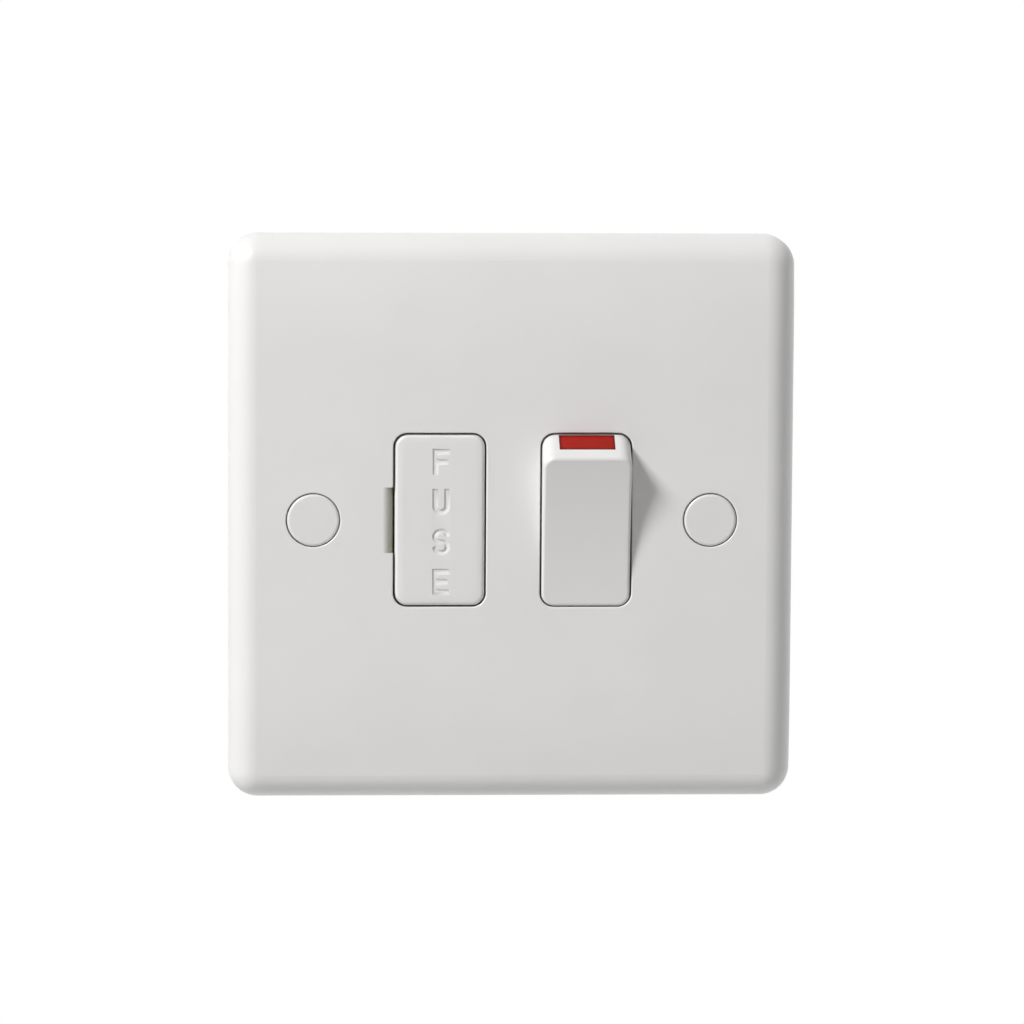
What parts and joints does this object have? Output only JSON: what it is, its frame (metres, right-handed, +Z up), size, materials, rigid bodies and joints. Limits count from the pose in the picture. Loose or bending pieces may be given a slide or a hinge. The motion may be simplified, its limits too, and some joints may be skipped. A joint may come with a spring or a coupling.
{
  "type": "fused connection unit",
  "caption": "Single-gang wall plate with a pull-out fuse carrier, a double-pole rocker switch with a red flash and screw terminals behind.",
  "frame": {"origin": "midway between the two fixing holes, on the wall plane", "axes": "+X to the right seen from the front, +Z up, the front faces -Y"},
  "size_m": [0.086, 0.0324, 0.086],
  "materials": {
    "moulded_white": "smooth satin urea moulding",
    "moulded_red": "smooth red moulding",
    "moulded_grey": "fine matt moulding",
    "plunger_plastic": "plain moulding",
    "ceramic": "glazed ceramic tube",
    "nickel_plate": "drawn, nickel plated",
    "brass_strip": "stamped strip",
    "brass_bar": "sawn and drilled bar",
    "zinc_steel": "zinc plated",
    "spring_steel": "bright wire"
  },
  "bodies": {
    "housing": {"front_plate": "moulded_white", "rear_base": "moulded_grey", "fuse_clip_top": "brass_strip", "fuse_clip_bottom": "brass_strip", "earth_link": "brass_strip", "terminal_screws": "zinc_steel", "base_screws": "zinc_steel", "terminal_load_live": "brass_bar", "terminal_load_earth": "brass_bar", "terminal_load_neutral": "brass_bar", "terminal_feed_live": "brass_bar", "terminal_feed_earth": "brass_bar", "terminal_feed_neutral": "brass_bar", "fixed_contact_live": "brass_strip", "fulcrum_live": "brass_strip", "fixed_contact_neutral": "brass_strip", "fulcrum_neutral": "brass_strip"},
    "rocker": {"rocker": "moulded_white", "rocker_flash": "moulded_red", "plunger_live": "plunger_plastic", "plunger_spring_live": "spring_steel", "plunger_neutral": "plunger_plastic", "plunger_spring_neutral": "spring_steel"},
    "fuse_carrier": {"fuse_carrier": "moulded_white", "fuse_tube": "ceramic", "fuse_cap_top": "nickel_plate", "fuse_cap_bottom": "nickel_plate"},
    "cap_left": {"screw_cap_left": "moulded_white"},
    "cap_right": {"screw_cap_right": "moulded_white"},
    "contact_live": {"moving_contact_live": "brass_strip"},
    "contact_neutral": {"moving_contact_neutral": "brass_strip"}
  },
  "joints": [
    {"name": "rocker_pivot", "type": "hinge", "parent": "housing", "child": "rocker", "pos_m": [0.01125, -0.0032, 0], "axis": [1, 0, 0], "range_deg": [-22.2, 0]},
    {"name": "fuse_carrier_pull", "type": "slide", "parent": "housing", "child": "fuse_carrier", "axis": [0, -1, 0], "range_m": [0, 0.02]},
    {"name": "cap_left_pull", "type": "slide", "parent": "housing", "child": "cap_left", "axis": [0, -1, 0], "range_m": [0, 0.01]},
    {"name": "cap_right_pull", "type": "slide", "parent": "housing", "child": "cap_right", "axis": [0, -1, 0], "range_m": [0, 0.01]},
    {"name": "contact_live_tilt", "type": "hinge", "parent": "housing", "child": "contact_live", "pos_m": [0.00795, 0.0101, 0], "axis": [1, 0, 0], "range_deg": [0, 16]},
    {"name": "contact_neutral_tilt", "type": "hinge", "parent": "housing", "child": "contact_neutral", "pos_m": [0.01455, 0.0101, 0], "axis": [1, 0, 0], "range_deg": [0, 16]}
  ],
  "couplings": [
    {"joint": "contact_live_tilt", "follows": "rocker_pivot", "ratio": -0.7207},
    {"joint": "contact_neutral_tilt", "follows": "rocker_pivot", "ratio": -0.7207}
  ]
}
